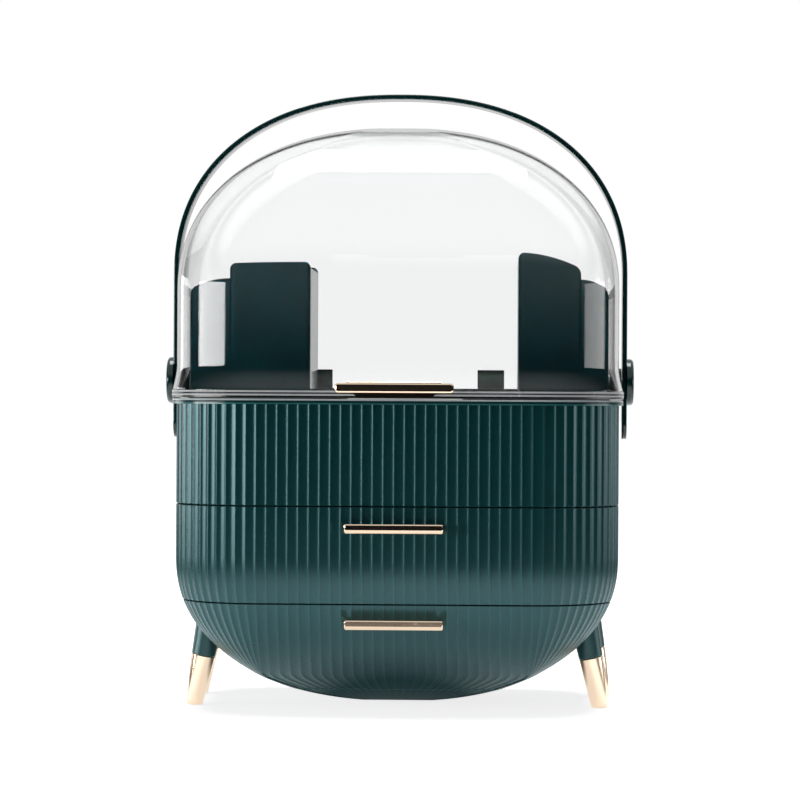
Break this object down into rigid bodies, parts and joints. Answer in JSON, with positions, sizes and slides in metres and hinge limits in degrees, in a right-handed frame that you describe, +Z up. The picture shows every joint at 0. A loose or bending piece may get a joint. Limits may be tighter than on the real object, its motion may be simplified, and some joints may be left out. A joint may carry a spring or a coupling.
{
  "type": "makeup box",
  "caption": "Egg-shaped fluted makeup box on legs, with sliding drawers, upright bins under a clear hinged dome lid and a swinging carrying handle.",
  "frame": {"origin": "on the floor, in the middle between the feet and the sides", "axes": "+Z up, -Y towards the front with the drawers, +X to the right seen from the front"},
  "size_m": [0.3198, 0.2452, 0.4155],
  "materials": {
    "green_body": "satin gloss, fluted",
    "green_band": "gloss",
    "green_legs": "gloss",
    "inner_shell": "satin",
    "trays": "satin",
    "bins": "gloss",
    "green_handle": "gloss",
    "gold": "polished, pale gold",
    "screws": "plain",
    "clear_dome": "clear, polished",
    "seal": "smooth",
    "dark_plate": "dark bronze"
  },
  "bodies": {
    "base": {"tub_shell": "green_body", "rim_band": "green_band", "rear_casing": "green_body", "drawer_shelf": "inner_shell", "upper_rails": "inner_shell", "lower_rails": "inner_shell", "casing_screws": "screws", "right_bin": "bins", "left_bin": "bins", "leg_screws": "screws", "front_left_leg_sleeve": "green_legs", "front_right_leg_sleeve": "green_legs", "rear_left_leg_sleeve": "green_legs", "rear_right_leg_sleeve": "green_legs", "front_left_leg_tip": "gold", "front_right_leg_tip": "gold", "rear_left_leg_tip": "gold", "rear_right_leg_tip": "gold", "hinge_brackets": "gold", "hinge_pins": "screws", "hinge_screws": "screws"},
    "lid": {"lid_dome": "clear_dome", "lid_seal": "seal", "lid_tab": "gold", "lid_latch": "dark_plate", "hinge_leaves": "gold", "right_pivot_boss": "green_handle", "left_pivot_boss": "green_handle", "pivot_pins": "screws"},
    "handle": {"handle_strap": "green_handle", "right_handle_cap": "green_handle", "left_handle_cap": "green_handle"},
    "upper_drawer": {"upper_drawer_front": "green_body", "upper_drawer_tray": "trays", "upper_drawer_bar": "gold", "upper_bar_screws": "screws"},
    "lower_drawer": {"lower_drawer_front": "green_body", "lower_drawer_tray": "trays", "lower_drawer_bar": "gold", "lower_bar_screws": "screws"}
  },
  "joints": [
    {"name": "lid_hinge", "type": "hinge", "parent": "base", "child": "lid", "pos_m": [0, 0.1191, 0.20715], "axis": [-1, 0, 0], "range_deg": [0, 85]},
    {"name": "handle_pivot", "type": "hinge", "parent": "lid", "child": "handle", "pos_m": [0, 0, 0.2194], "axis": [-1, 0, 0], "range_deg": [-80, 80]},
    {"name": "upper_drawer_slide", "type": "slide", "parent": "base", "child": "upper_drawer", "axis": [0, -1, 0], "range_m": [0, 0.13]},
    {"name": "lower_drawer_slide", "type": "slide", "parent": "base", "child": "lower_drawer", "axis": [0, -1, 0], "range_m": [0, 0.115]}
  ]
}
